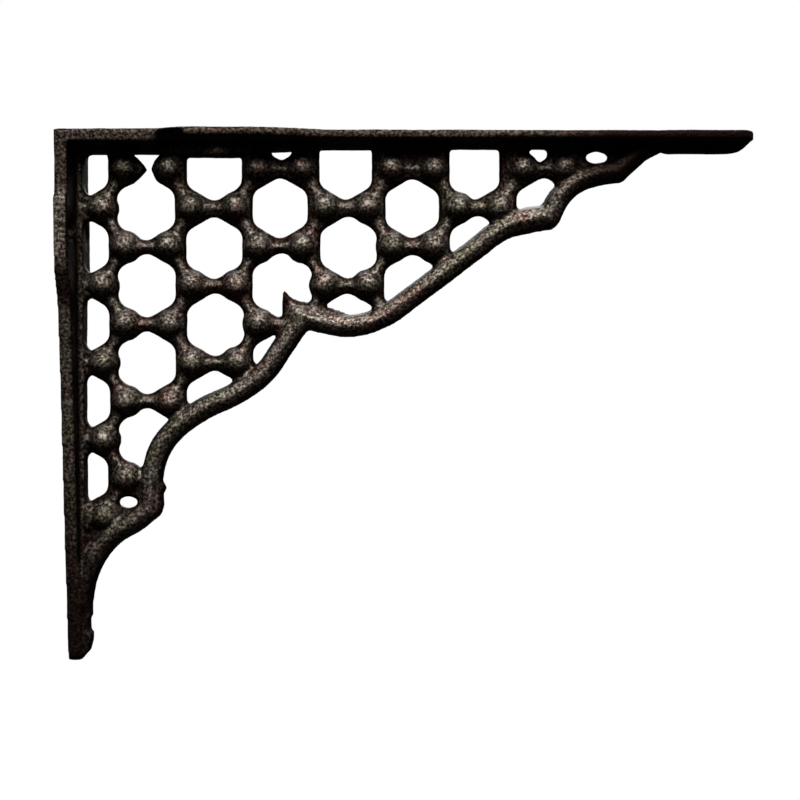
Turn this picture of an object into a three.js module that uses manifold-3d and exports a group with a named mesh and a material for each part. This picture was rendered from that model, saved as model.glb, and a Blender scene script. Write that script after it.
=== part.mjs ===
// Cast iron shelf bracket: one casting with a shelf leg, a wall leg, a honeycomb web with a ball at
// every meeting of its struts, and a scrolled lower bar. Millimetres, +X out from the wall, +Z up.
// The lattice lies in the plane Y = 0 and the origin is the middle of the wall face.
import * as THREE from "three";
import { mergeVertices } from "three/addons/utils/BufferGeometryUtils.js";
import Module from "manifold-3d";

const wasm = await Module();
wasm.setup();

const mergeDistance = 1e-4;

// Legs
const shelfLength = 249;
const wallHeight = 193;
const topZ = wallHeight / 2;
const shelfThickness = 3.4;
const cornerThickness = 4.6;
const wallThickness = 4.7;
const cornerHalfWidth = 13.8;
const shelfCornerLength = 35.5;
const wallCornerLength = 23;
const shelfPlainHalfWidth = 12.4;
const wallPlainHalfWidth = 15;
const shelfTipHalfWidth = 10.5;
const wallTipHalfWidth = 3;
const shelfTipRadius = 5;
const wallTipRadius = 2.8;
const tipSteps = 5;
const earRiseSteps = 3;
const earFallSteps = 6;

// Screw ears, one on each leg, with a countersunk hole on either side of the web
const shelfEarHalfWidth = 17.2;
const wallEarHalfWidth = 15.2;
const earHalfLength = 11;
const shelfEarCentre = 55.5;
const shelfEarSlope = 34;
const wallEarCentre = 35;
const wallEarSlope = 17;
const scoopDepth = 6;
const scoopTilt = Math.PI / 4;
const scoopRoof = 0.5;
const screwHoleRadius = 2.5;
const screwHeadRadius = 4.4;
const countersinkDepth = 1.7;
const screwHoleOffset = 8.2;
const screwHoleSides = 14;
const screwOverrun = 1;

// Rails: the depth of the web's solid edge under the shelf face and beside the wall face
const railHalfThickness = 2.7;
const railDepth = 4.9;
const cornerRailDepth = 6.1;
const bossDepth = 7.8;
const bossHalfLength = 10.2;
const bossSlope = 4;
const wallRailDepth = 6.5;
const cornerRailEnd = 36;
const railInset = 0.5;
const wallRailTop = 1;
const railTipInset = 0.8;
// Rail near the tip of the shelf leg: distance back from the tip, depth
const shelfRailTip = [[35, 4.9], [29, 6.7], [14, 6.7], [7, 6.5], [3, 5.9], [railTipInset, 4]];
// Rail near the tip of the wall leg, with the nub above its foot: distance up from the tip, depth
const wallRailTip = [
  [24, 6.5], [22, 8.1], [16.5, 8.1], [15.6, 7.3], [10.9, 7.2], [10.2, 8.4], [7.3, 8.3],
  [3.6, 7.3], [1.7, 5.6], [railTipInset, 4.2],
];

// Honeycomb: flat-topped cells, a strut on each side and a ball at each corner
const columnPitch = 24.3;
const rowPitch = 28.3;
const hexSide = columnPitch / 1.5;
const firstColumnX = 29.7;
const firstCellDepth = 26.1;
const columnsLeft = 1;
const columnsRight = 7;
const rows = 6;
const webHalfThickness = 2.5;
const webBevel = 1.4;
const cellInradius = 10.5;
const cellRounding = 5;
const roundShare = 0.7;
const cornerArc = Math.PI / 9;
const ballRadius = 4.9;
const ballSides = 10;
const ballRings = 6;
const ballClearOfBar = 2.6;
const ballClearOfRail = 3.2;
const closeUpColumn = 3;
const closeUp = 0.5;
const sheetMargin = 20;
const regionInset = 1;
const cutOver = 3;
// Columns whose first opening runs straight up to the shelf leg, and the depth where it ends inside the leg
const openTopColumns = [1, 3, 5];
const openTopDepth = 2;
// Cells that came out filled: column and row
const filledCells = [[4, 0], [-1, 5]];
// Cells that came out uneven: column, row, change of inradius, shift outwards, shift down
const unevenCells = [
  [-1, 4, -0.6, -0.4, -0.6], [0, 1, 0.3, -0.4, 0.2], [0, 2, 0.3, -0.3, 0], [0, 3, 0.3, -0.4, 0],
  [0, 4, 0.3, -0.5, 0], [0, 5, -7.4, -7.6, -5.1], [1, 0, -0.2, 0.3, 0.3], [1, 1, 0, 0.1, 0.4],
  [1, 2, 0.2, 0.4, 0.2], [2, 0, -6.8, 0.2, 7.3], [2, 1, -0.3, -0.1, 0], [2, 2, 0.6, 0.5, 0],
  [3, 0, -0.7, -0.5, 0.6], [3, 1, 0, 0.4, 0.2], [4, 1, -0.5, -0.2, 0.2], [5, 0, -1.1, -1, 1.3],
  [6, 0, -6.9, -0.6, 7.5], [6, 1, -0.3, 0.2, 0], [7, 0, -6, -3, -1.8],
];

// The strut that is missing over the first cell, where two stubs stop short of each other
const brokenStrutGap = 1.4;
const brokenStrutMouth = 8;
const brokenStrutX = 30.6;
const brokenStrutHeight = 8;

// Scrolled bar: bevelled, the same width all along
const barHalfThickness = 4.3;
const barBevel = 2.1;
const barStepsPerPoint = 1.6;
const barFaceInset = 0.4;
const barFootInset = 2;
const cuspInset = 0.3;
const cuspBevel = 1;
// Middle line of each sweep of the bar: distance from the wall, depth under the shelf face, half width
const cuspToLeftKnee = [
  [85.4, 67.8, 4.2], [79.2, 77, 4.2], [73, 85.8, 4.2], [63.5, 93.2, 4.4], [47.9, 101, 4.3],
  [35.3, 112.2, 4.2], [31, 124.3, 4.2], [31, 134.8, 4.2],
];
const leftKneeToWall = [
  [30.4, 136.4, 4.3], [24.2, 141.3, 4.3], [17, 145.7, 4.3], [11.2, 152.2, 4.2],
  [7, 160.2, 4.2], [4.4, 171.4, 4.2],
];
const cuspToRightKnee = [
  [84.6, 65.4, 4.2], [92.6, 67.6, 4.2], [104.4, 69.2, 4.2], [115.6, 66.1, 4.2], [126.8, 58.5, 4.2],
  [148.3, 42.4, 4.2], [159.8, 33.9, 4.3], [168.4, 31, 5], [175.8, 29.8, 4.7],
];
const rightKneeToKnee = [
  [176.8, 29, 4.4], [180.6, 22.4, 4.2], [186.2, 17.3, 4.2], [193.4, 14.5, 4.2], [201.4, 13.3, 4.2],
];
const rightKneeToShelf = [[201.4, 13, 4.2], [205.5, 9.4, 4.2], [210.1, 5.4, 4.2], [216, 2.4, 4.2]];
// Corners of the cusp where the two long sweeps meet, from its tip
const cusp = [[80, 57.3], [78.2, 66.4], [77.4, 72.4], [86, 72], [97, 63.4], [89.4, 60.9]];

const toZ = (depth) => topZ - depth;

// A closed mesh as a solid for joining and cutting
const solidOf = (geometry) => {
  const plain = geometry.clone();
  plain.deleteAttribute("normal");
  plain.deleteAttribute("uv");
  const merged = mergeVertices(plain, mergeDistance);
  return new wasm.Manifold(new wasm.Mesh({
    numProp: 3,
    vertProperties: new Float32Array(merged.attributes.position.array),
    triVerts: new Uint32Array(merged.index.array),
  }));
};

// A flat outline in X and Z, made solid to the same distance on both sides of the web plane
const plateXZ = (outline, halfThickness, bevel = 0, holes = []) => {
  const shape = new THREE.Shape(outline.map(([x, z]) => new THREE.Vector2(x, z)));
  holes.forEach((hole) => shape.holes.push(new THREE.Path(hole.map(([x, z]) => new THREE.Vector2(x, z)))));
  const flat = 2 * (halfThickness - bevel);
  const geometry = new THREE.ExtrudeGeometry(shape, {
    depth: flat, steps: 1, curveSegments: 1,
    bevelEnabled: bevel > 0, bevelThickness: bevel, bevelSize: bevel, bevelOffset: -bevel, bevelSegments: 1,
  });
  geometry.rotateX(Math.PI / 2);
  geometry.translate(0, flat / 2, 0);
  return solidOf(geometry);
};

// A flat outline along a leg and across it, made solid over the leg's thickness
const plateAcross = (outline, thickness) => {
  const shape = new THREE.Shape(outline.map(([along, across]) => new THREE.Vector2(along, across)));
  return new THREE.ExtrudeGeometry(shape, { depth: thickness, steps: 1, bevelEnabled: false });
};

const smooth = (t) => t * t * (3 - 2 * t);

// Half width of a leg at a distance from the corner of the bracket
const legHalfWidth = (along, leg) => {
  const earStart = leg.earCentre - earHalfLength;
  const earEnd = leg.earCentre + earHalfLength;
  if (along < earStart) {
    const rise = (along - leg.cornerLength) / (earStart - leg.cornerLength);
    const lift = smooth(THREE.MathUtils.clamp(rise, 0, 1));
    return cornerHalfWidth + (leg.earHalfWidth - cornerHalfWidth) * lift;
  }
  const taper = leg.plainHalfWidth + (leg.tipHalfWidth - leg.plainHalfWidth) * (along / leg.length);
  const fall = smooth(THREE.MathUtils.clamp((along - earEnd) / leg.earSlope, 0, 1));
  return leg.earHalfWidth + (taper - leg.earHalfWidth) * fall;
};

// Outline of a leg seen square to its mounting face: straight corner, ear, taper and rounded tip
const legOutline = (leg) => {
  const side = [[0, cornerHalfWidth]];
  const earStart = leg.earCentre - earHalfLength;
  const earEnd = leg.earCentre + earHalfLength;
  for (let i = 0; i <= earRiseSteps; i += 1) {
    const along = leg.cornerLength + (earStart - leg.cornerLength) * (i / earRiseSteps);
    side.push([along, legHalfWidth(along, leg)]);
  }
  for (let i = 0; i <= earFallSteps; i += 1) {
    const along = earEnd + leg.earSlope * (i / earFallSteps);
    side.push([along, legHalfWidth(along, leg)]);
  }
  for (let i = 0; i <= tipSteps; i += 1) {
    const angle = (Math.PI / 2) * (i / tipSteps);
    const along = leg.length - leg.tipRadius + leg.tipRadius * Math.sin(angle);
    side.push([along, leg.tipHalfWidth - leg.tipRadius + leg.tipRadius * Math.cos(angle)]);
  }
  const mirrored = side.map(([along, across]) => [along, -across]).reverse();
  return side.concat(mirrored);
};

// Legs
const shelfLeg = {
  cornerLength: shelfCornerLength, earCentre: shelfEarCentre, earSlope: shelfEarSlope,
  length: shelfLength, earHalfWidth: shelfEarHalfWidth, plainHalfWidth: shelfPlainHalfWidth,
  tipHalfWidth: shelfTipHalfWidth, tipRadius: shelfTipRadius,
};
const shelfPlate = plateAcross(legOutline(shelfLeg), shelfThickness);
shelfPlate.translate(0, 0, topZ - shelfThickness);

const wallLeg = {
  cornerLength: wallCornerLength, earCentre: wallEarCentre, earSlope: wallEarSlope,
  length: wallHeight, earHalfWidth: wallEarHalfWidth, plainHalfWidth: wallPlainHalfWidth,
  tipHalfWidth: wallTipHalfWidth, tipRadius: wallTipRadius,
};
const wallPlate = plateAcross(legOutline(wallLeg), wallThickness);
wallPlate.rotateY(Math.PI / 2);
wallPlate.translate(0, 0, topZ);

const cornerBlock = new THREE.BoxGeometry(shelfCornerLength, 2 * cornerHalfWidth, cornerThickness);
cornerBlock.translate(shelfCornerLength / 2, 0, topZ - cornerThickness / 2);

let casting = solidOf(shelfPlate).add(solidOf(wallPlate)).add(solidOf(cornerBlock));

// Scoop under each edge of the shelf leg, between the thick corner and the ear
const scoopLength = shelfEarCentre - earHalfLength - shelfCornerLength;
[-1, 1].forEach((side) => {
  const scoop = new THREE.BoxGeometry(scoopLength, scoopDepth, scoopDepth);
  scoop.rotateX(scoopTilt);
  scoop.rotateZ(side * Math.atan2(shelfEarHalfWidth - cornerHalfWidth, scoopLength));
  const reach = (scoopDepth / 2) * Math.SQRT2;
  scoop.translate(0, side * ((cornerHalfWidth + shelfEarHalfWidth) / 2), -reach);
  scoop.translate(shelfCornerLength + scoopLength / 2, 0, topZ - scoopRoof);
  casting = casting.subtract(solidOf(scoop));
});

// Rails of the web along both legs
const bossStart = shelfEarCentre - bossHalfLength;
const bossEnd = shelfEarCentre + bossHalfLength;
const shelfRail = [
  [0, toZ(railInset)], [0, toZ(cornerRailDepth)], [cornerRailEnd, toZ(cornerRailDepth)],
  [bossStart, toZ(bossDepth)], [bossEnd, toZ(bossDepth)], [bossEnd + bossSlope, toZ(railDepth)],
  ...shelfRailTip.map(([back, depth]) => [shelfLength - back, toZ(depth)]),
  [shelfLength - railTipInset, toZ(railInset)],
];
const wallRail = [
  [railInset, toZ(wallRailTop)], [wallRailDepth, toZ(wallRailTop)],
  ...wallRailTip.map(([up, depth]) => [depth, toZ(wallHeight - up)]),
  [railInset, toZ(wallHeight - railTipInset)],
];
casting = casting.add(plateXZ(shelfRail, railHalfThickness)).add(plateXZ(wallRail, railHalfThickness));

// Scrolled bar: its half width rides along the curve as a third coordinate
const barOutline = (line) => {
  const onCurve = line.map(([x, depth, half]) => new THREE.Vector3(x, toZ(depth), half));
  const curve = new THREE.CatmullRomCurve3(onCurve);
  const pieces = Math.round(line.length * barStepsPerPoint);
  const left = [];
  const right = [];
  const rimAt = (share, angle) => {
    const point = curve.getPointAt(share);
    return [point.x + point.z * Math.cos(angle), point.y + point.z * Math.sin(angle)];
  };
  const headingAt = (share) => {
    const way = curve.getTangentAt(share);
    return Math.atan2(way.y, way.x);
  };
  for (let i = 0; i <= pieces; i += 1) {
    const heading = headingAt(i / pieces);
    left.push(rimAt(i / pieces, heading + Math.PI / 2));
    right.unshift(rimAt(i / pieces, heading - Math.PI / 2));
  }
  const quarter = Math.PI / 4;
  const endCap = [1, 2, 3].map((step) => rimAt(1, headingAt(1) + Math.PI / 2 - quarter * step));
  const startCap = [1, 2, 3].map((step) => rimAt(0, headingAt(0) - Math.PI / 2 - quarter * step));
  return [...left, ...endCap, ...right, ...startCap];
};
const barLines = [cuspToLeftKnee, leftKneeToWall, cuspToRightKnee, rightKneeToKnee, rightKneeToShelf];
const cuspOutline = cusp.map(([x, depth]) => [x, toZ(depth)]);
let bar = plateXZ(cuspOutline, barHalfThickness - cuspInset, cuspBevel);
barLines.forEach((line) => {
  bar = bar.add(plateXZ(barOutline(line), barHalfThickness, barBevel));
});
const barFoot = toZ(wallHeight - barFootInset);
const insideFaces = [
  [barFaceInset, toZ(barFaceInset)], [barFaceInset, barFoot], [shelfLength, barFoot],
  [shelfLength, toZ(barFaceInset)],
];
bar = bar.intersect(plateXZ(insideFaces, barHalfThickness + cutOver));

// Everything above the bar and inside the two faces
const barEndAtWall = leftKneeToWall[leftKneeToWall.length - 1];
const barEndAtShelf = rightKneeToShelf[rightKneeToShelf.length - 1];
const barRegion = [
  [regionInset, toZ(regionInset)], [regionInset, toZ(barEndAtWall[1])],
  ...[...leftKneeToWall].reverse().map(([x, depth]) => [x, toZ(depth)]),
  ...[...cuspToLeftKnee].reverse().map(([x, depth]) => [x, toZ(depth)]),
  ...cuspToRightKnee.slice(1).map(([x, depth]) => [x, toZ(depth)]),
  ...rightKneeToKnee.map(([x, depth]) => [x, toZ(depth)]),
  ...rightKneeToShelf.slice(1).map(([x, depth]) => [x, toZ(depth)]),
  [barEndAtShelf[0], toZ(regionInset)],
];

// One opening of the honeycomb: a pointed hexagon with round corners, or one whose sides run up to the shelf
const cellOutline = (x, z, inradius, openTop) => {
  const rounding = Math.min(cellRounding, roundShare * inradius);
  const reach = (inradius - rounding) / Math.cos(Math.PI / 6);
  const under = toZ(openTopDepth);
  const points = openTop ? [[x + inradius, under], [x - inradius, under]] : [];
  const firstCorner = openTop ? 3 : 0;
  for (let corner = firstCorner; corner < 6; corner += 1) {
    const middle = Math.PI / 6 + (Math.PI / 3) * corner;
    for (let step = -1; step <= 1; step += 1) {
      const angle = middle + cornerArc * step;
      const cx = x + reach * Math.cos(middle);
      const cz = z + reach * Math.sin(middle);
      points.push([cx + rounding * Math.cos(angle), cz + rounding * Math.sin(angle)]);
    }
  }
  return points;
};

// Honeycomb web
const cells = [];
for (let column = -columnsLeft; column <= columnsRight; column += 1) {
  const odd = Math.abs(column % 2) === 1;
  const first = odd ? firstCellDepth - rowPitch / 2 : firstCellDepth - rowPitch;
  for (let row = 0; row < rows; row += 1) {
    const x = firstColumnX + column * columnPitch - closeUp * Math.max(0, column - closeUpColumn);
    const z = toZ(first + row * rowPitch);
    const even = [column, row, 0, 0, 0];
    const [, , wider, out, down] = unevenCells.find(([c, r]) => c === column && r === row) ?? even;
    const filled = filledCells.some(([c, r]) => c === column && r === row);
    const openTop = row === 0 && openTopColumns.includes(column);
    const inradius = cellInradius + wider;
    cells.push({ x, z, openingX: x + out, openingZ: z - down, inradius, filled, openTop });
  }
}
const sheetFoot = toZ(rows * rowPitch + sheetMargin);
const sheet = [
  [-sheetMargin, topZ + sheetMargin], [-sheetMargin, sheetFoot], [shelfLength, sheetFoot],
  [shelfLength, topZ + sheetMargin],
];
const openings = cells.filter((cell) => !cell.filled)
  .map((cell) => cellOutline(cell.openingX, cell.openingZ, cell.inradius, cell.openTop));
let web = plateXZ(sheet, webHalfThickness, webBevel, openings);
const region = plateXZ(barRegion, webHalfThickness + cutOver);
web = web.intersect(region);

// Balls at the corners of the cells, left out where the bar or a rail takes their place
const onLine = (line) => line.map(([x, depth]) => new THREE.Vector2(x, toZ(depth)));
const clearOfLine = (x, z, line) => {
  const points = onLine(line);
  let nearest = Infinity;
  for (let i = 0; i + 1 < points.length; i += 1) {
    const a = points[i];
    const along = points[i + 1].clone().sub(a);
    const t = THREE.MathUtils.clamp(new THREE.Vector2(x, z).sub(a).dot(along) / along.lengthSq(), 0, 1);
    nearest = Math.min(nearest, new THREE.Vector2(x, z).distanceTo(a.clone().addScaledVector(along, t)));
  }
  return nearest;
};
const insideRegion = (x, z) => {
  let inside = false;
  barRegion.forEach(([ax, az], i) => {
    const [bx, bz] = barRegion[(i + 1) % barRegion.length];
    if ((az > z) !== (bz > z) && x < ((bx - ax) * (z - az)) / (bz - az) + ax) {
      inside = !inside;
    }
  });
  return inside;
};
const ball = new THREE.SphereGeometry(ballRadius, ballSides, ballRings);
cells.forEach((cell) => {
  [-hexSide, hexSide].forEach((reach) => {
    const x = cell.x + reach;
    const offBar = Math.min(...barLines.map((line) => clearOfLine(x, cell.z, line)));
    const offRails = x > wallRailDepth + ballClearOfRail && cell.z < toZ(railDepth + ballClearOfRail);
    if (insideRegion(x, cell.z) && offBar > ballClearOfBar && offRails) {
      const placed = ball.clone();
      placed.translate(x, 0, cell.z);
      web = web.add(solidOf(placed));
    }
  });
});

// Gap in the strut over the first cell
const gapTop = toZ(firstCellDepth - rowPitch / 2) + brokenStrutHeight / 2;
const gapWaist = gapTop - brokenStrutHeight / 2;
const gap = [
  [brokenStrutX - brokenStrutMouth / 2, gapTop], [brokenStrutX - brokenStrutGap / 2, gapWaist],
  [brokenStrutX - brokenStrutMouth / 2, gapTop - brokenStrutHeight],
  [brokenStrutX + brokenStrutMouth / 2, gapTop - brokenStrutHeight],
  [brokenStrutX + brokenStrutGap / 2, gapWaist], [brokenStrutX + brokenStrutMouth / 2, gapTop],
];
web = web.subtract(plateXZ(gap, webHalfThickness + cutOver));
casting = casting.add(web).add(bar);

// Screw holes beside the web, countersunk from inside
const screwCutter = (thickness) => {
  const profile = [
    [0, -screwOverrun], [screwHoleRadius, -screwOverrun], [screwHoleRadius, thickness - countersinkDepth],
    [screwHeadRadius, thickness], [screwHeadRadius, thickness + screwOverrun], [0, thickness + screwOverrun],
  ];
  return new THREE.LatheGeometry(profile.map(([r, y]) => new THREE.Vector2(r, y)), screwHoleSides);
};
[-screwHoleOffset, screwHoleOffset].forEach((across) => {
  const shelfHole = screwCutter(shelfThickness);
  shelfHole.rotateX(-Math.PI / 2);
  shelfHole.translate(shelfEarCentre, across, topZ);
  casting = casting.subtract(solidOf(shelfHole));
  const wallHole = screwCutter(wallThickness);
  wallHole.rotateZ(-Math.PI / 2);
  wallHole.translate(0, across, toZ(wallEarCentre));
  casting = casting.subtract(solidOf(wallHole));
});

const toGeometry = (manifold) => {
  const mesh = manifold.getMesh();
  const geometry = new THREE.BufferGeometry();
  geometry.setAttribute("position", new THREE.BufferAttribute(new Float32Array(mesh.vertProperties), 3));
  geometry.setIndex(new THREE.BufferAttribute(new Uint32Array(mesh.triVerts), 1));
  geometry.computeVertexNormals();
  return geometry;
};

const castIron = new THREE.MeshStandardMaterial({ color: 0x3b322b, roughness: 0.62, metalness: 0.85 });
const bracket = new THREE.Mesh(toGeometry(casting), castIron);
bracket.name = "shelf_bracket";

const part = new THREE.Group();
part.add(bracket);
export default part;
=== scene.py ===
import math

import bmesh
import bpy
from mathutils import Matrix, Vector


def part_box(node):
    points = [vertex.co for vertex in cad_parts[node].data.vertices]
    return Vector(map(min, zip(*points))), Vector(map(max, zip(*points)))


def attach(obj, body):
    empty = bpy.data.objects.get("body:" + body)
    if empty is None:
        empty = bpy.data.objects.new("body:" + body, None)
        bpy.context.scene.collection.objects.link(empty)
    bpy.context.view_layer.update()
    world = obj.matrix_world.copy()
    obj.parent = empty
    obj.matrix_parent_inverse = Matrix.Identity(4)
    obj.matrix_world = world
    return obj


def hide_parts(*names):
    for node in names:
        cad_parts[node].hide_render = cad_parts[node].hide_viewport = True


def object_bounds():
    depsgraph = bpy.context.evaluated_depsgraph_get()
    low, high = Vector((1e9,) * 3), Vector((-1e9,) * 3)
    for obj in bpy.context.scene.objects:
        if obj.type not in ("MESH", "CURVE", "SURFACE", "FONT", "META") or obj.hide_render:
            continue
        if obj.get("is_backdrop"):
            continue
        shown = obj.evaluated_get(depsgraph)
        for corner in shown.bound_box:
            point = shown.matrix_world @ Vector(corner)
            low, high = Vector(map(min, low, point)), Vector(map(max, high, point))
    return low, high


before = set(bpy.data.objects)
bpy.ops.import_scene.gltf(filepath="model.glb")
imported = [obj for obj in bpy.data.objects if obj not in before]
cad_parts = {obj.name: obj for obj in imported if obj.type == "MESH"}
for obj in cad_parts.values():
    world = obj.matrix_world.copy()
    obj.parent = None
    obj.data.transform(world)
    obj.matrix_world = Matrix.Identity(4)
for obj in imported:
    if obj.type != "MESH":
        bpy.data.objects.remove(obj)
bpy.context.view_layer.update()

# Sizes are millimetres: X out from the wall, Y across the bracket, and depth down from the shelf face.
mm = 0.001
bracket_low, bracket_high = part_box("shelf_bracket")
shelf_length = (bracket_high.x - bracket_low.x) / mm
wall_height = (bracket_high.z - bracket_low.z) / mm
top = bracket_high.z / mm

# Legs
shelf_thickness = 3.4
corner_thickness = 4.6
wall_thickness = 4.7
corner_half_width = 13.8
corner_step = 1
shelf_corner_length = 35.5
wall_corner_length = 23
shelf_plain_half_width = 12.4
wall_plain_half_width = 15
shelf_tip_half_width = 10.5
wall_tip_half_width = 3
shelf_tip_radius = 5
wall_tip_radius = 2.8
shelf_ear_half_width = 17.2
wall_ear_half_width = 15.2
ear_half_length = 11
shelf_ear_centre = 55.5
shelf_ear_slope = 34
wall_ear_centre = 35
wall_ear_slope = 17
ear_rise_steps = 4
ear_fall_steps = 8
tip_steps = 6
scoop_radius = 4.2
scoop_end = 46.3
scoop_roof = 0.9
scoop_sides = 32
screw_hole_radius = 2.5
screw_head_radius = 4.4
countersink_depth = 1.7
screw_hole_offset = 8.2
screw_hole_sides = 28
bore_overrun = 1

# Rails of the web: distance from the corner, then depth
rail_half_thickness = 2.7
shelf_rail = [
    (0.6, 6.1), (36, 6.1), (45.3, 7.8), (65.7, 7.8), (69.7, 4.9), (214, 4.9), (220, 6.7),
    (235, 6.7), (242, 6.5), (246, 5.9), (248.2, 4),
]
wall_rail = [
    (0.6, 6.5), (169, 6.5), (171, 8.1), (176.5, 8.1), (177.4, 7.3), (182.1, 7.2), (182.8, 8.4),
    (185.7, 8.3), (189.4, 7.3), (191.3, 5.6), (192.2, 4.2),
]
rail_skin = 0.6

# Honeycomb
column_pitch = 24.4
row_pitch = 28.25
hex_side = column_pitch / 1.5
first_column = 29.7
first_cell_depth = 26.35
columns = range(-1, 8)
rows = range(6)
close_up_column = 3
close_up = 0.5
web_half_thickness = 1.4
web_start = 1
web_tip_gap = 30
web_middle = 86
web_height = 170
cell_inradius = 10.15
cell_flare = 0.3
cell_rounding = 4
cell_corner_steps = 5
cutter_overrun = 0.4
# Most that a corner's rounding may be, as a share of the cell's inradius
largest_rounding = 0.72
ball_radius = 5.3
ball_segments = 24
ball_rings = 16
collar_radius = 6.1
collar_edge = 0.5
strut_half_width = 1.6
strut_half_thickness = 2.3
strut_root_swell = 0.5
strut_sides = 16
shortest_strut = 2
strut_end_steps = 40
# Where the ball beside the wall rail grows into it: distance from the wall, half height
wall_root = [(5, 7.6), (6.6, 7.6), (7.2, 6.2), (8.2, 4.9), (9.8, 3.8), (13, 3.4)]
wall_root_rows = range(5)
ball_clear_of_bar = 2.6
ball_clear_of_rail = 3.2
filled_cells = [(4, 0), (-1, 5)]
# Column and row of each uneven cell: change of inradius, shift outwards, shift down
uneven_cells = {
    (-1, 4): (-0.6, -0.4, -0.6), (0, 1): (0.3, -0.4, 0.2), (0, 2): (0.3, -0.3, 0),
    (0, 3): (0.3, -0.4, 0), (0, 4): (0.3, -0.5, 0), (0, 5): (-7.4, -7.6, -5.1),
    (1, 0): (-0.2, 0.3, 0.3), (1, 1): (0, 0.1, 0.4), (1, 2): (0.2, 0.4, 0.2), (2, 0): (-6.3, 0.5, 7),
    (2, 1): (-0.3, -0.1, 0), (2, 2): (0.6, 0.5, 0), (3, 0): (-0.7, -0.5, 0.6), (3, 1): (0, 0.4, 0.2),
    (4, 1): (-0.5, -0.2, 0.2), (5, 0): (-1.2, -1.3, 1.2), (6, 0): (-6.9, -2.1, 8.3),
    (6, 1): (-0.3, 0.2, 0), (7, 0): (-6.5, -4.6, -4.1),
}
# Uneven cells that are also out of shape: share of the width and of the height
squeezed_cells = {(0, 5): (1.25, 0.75), (7, 0): (1.1, 0.6), (2, 0): (0.95, 0.9)}
# Columns whose first opening runs straight up to the shelf rail, and by how much
open_top_columns = (1, 3, 5)
open_top_reach = 6
# Gap where the strut over the first cell is missing
gap_place = 30.6
gap_width = 1.4
gap_mouth = 8
gap_height = 8
gap_reach = 1

# Scrolled bar: distance from the wall, depth, half width
cusp_to_left_knee = [
    (85.4, 67.8, 4.2), (79.2, 77, 4.2), (73, 85.8, 4.2), (63.5, 93.2, 4.4), (47.9, 101, 4.3),
    (35.3, 112.2, 4.2), (31, 124.3, 4.2), (31, 134.8, 4.2),
]
left_knee_to_wall = [
    (30.4, 136.4, 4.3), (24.2, 141.3, 4.3), (17, 145.7, 4.3), (11.2, 152.2, 4.2), (7, 160.2, 4.2),
    (4.4, 171.4, 4.2),
]
cusp_to_right_knee = [
    (84.6, 65.4, 4.2), (92.6, 67.6, 4.2), (104.4, 69.2, 4.2), (115.6, 66.1, 4.2), (126.8, 58.5, 4.2),
    (148.3, 42.4, 4.2), (159.8, 33.9, 4.3), (168.4, 31, 5), (175.8, 29.8, 4.7),
]
right_knee_to_knee = [
    (176.8, 29, 4.4), (180.6, 22.4, 4.2), (186.2, 17.3, 4.2), (193.4, 14.5, 4.2), (201.4, 13.3, 4.2),
]
right_knee_to_shelf = [(201.4, 13, 4.2), (205.5, 9.4, 4.2), (210.1, 5.4, 4.2), (216, 2.4, 4.2)]
cusp_left_edge = [(86.5, 70.5, 5), (83.2, 66, 4.6), (81.4, 62, 2.8), (80.2, 58, 1.1), (79.8, 56.4, 0.7)]
cusp_right_edge = [
    (104, 69, 3.6), (97, 66.8, 4), (90, 64.6, 3.9), (86, 62.9, 3), (82.8, 60.6, 1.7), (80.6, 58.4, 0.6),
]
bar_lines = [
    cusp_to_left_knee, left_knee_to_wall, cusp_to_right_knee, right_knee_to_knee, right_knee_to_shelf,
]
bar_thickening = 1.1
bar_bend_steps = 8
bar_round_steps = 2
cusp_flattening = 0.6
# Ridge that runs up the middle of the cusp
cusp_ridge = [(85.4, 67.5, 4), (84, 64.4, 3), (82.2, 61, 1.9), (80.6, 58.2, 0.8)]
# Nub left on the scroll where the mould gave way: distance from the wall, depth, radius
nub = (33.9, 128.9, 2.2)
# Bar ends that lie deeper than this are rounded with a knob
knob_from_depth = 5
# Cold seams that stand up beside the foot of the scroll: distance from the wall, depth, half width
upper_seam = [(7.6, 135.5, 0.5), (7.5, 138, 0.8), (7.4, 142, 0.8), (7.6, 144.5, 0.5)]
lower_seam = [(8.9, 147.5, 0.5), (8.6, 151, 0.9), (8, 159, 0.9), (7.5, 167, 0.5)]
upper_seam_rise = 3
lower_seam_rise = 4.2

# The sweep that ends the web starts inside the wall leg and runs out past the tip of the shelf leg
scroll_foot = (1, 171.4)
scroll_run_out = (260, 2)
sweep_reach = 260
lattice_inset = 1

# Cutters, and the least distance that counts
cutter_breadth = 12
face_cutter_length = 300
face_cutter_breadth = 30
face_cutter_height = 20
hair = 0.01

# Cast surface
casting_grain = 0.8
fillet_passes = 2
fillet_softness = 0.5
sand_depth = 0.16
sand_width = 2.2
sand_detail = 2
swell_depth = 0.35
swell_width = 12
swell_detail = 1


def place(out, across, depth):
    """A point of the bracket, from millimetres to the scene."""
    return Vector((out * mm, across * mm, (top - depth) * mm))


def put_down():
    """Back in object mode with nothing selected."""
    if bpy.context.object and bpy.context.object.mode != "OBJECT":
        bpy.ops.object.mode_set(mode="OBJECT")
    bpy.ops.object.select_all(action="DESELECT")


def take_up(*pieces):
    """Selects these pieces alone, and works on the first."""
    put_down()
    for piece in pieces:
        piece.select_set(True)
    bpy.context.view_layer.objects.active = pieces[0]


def mark_faces(wanted):
    """Selects the faces that wanted(middle, normal) accepts, in the piece that is open for editing."""
    work = bmesh.from_edit_mesh(bpy.context.object.data)
    for face in work.faces:
        face.select_set(False)
    for face in work.faces:
        if wanted(face.calc_center_median(), face.normal):
            face.select_set(True)
    bmesh.update_edit_mesh(bpy.context.object.data)


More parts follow.
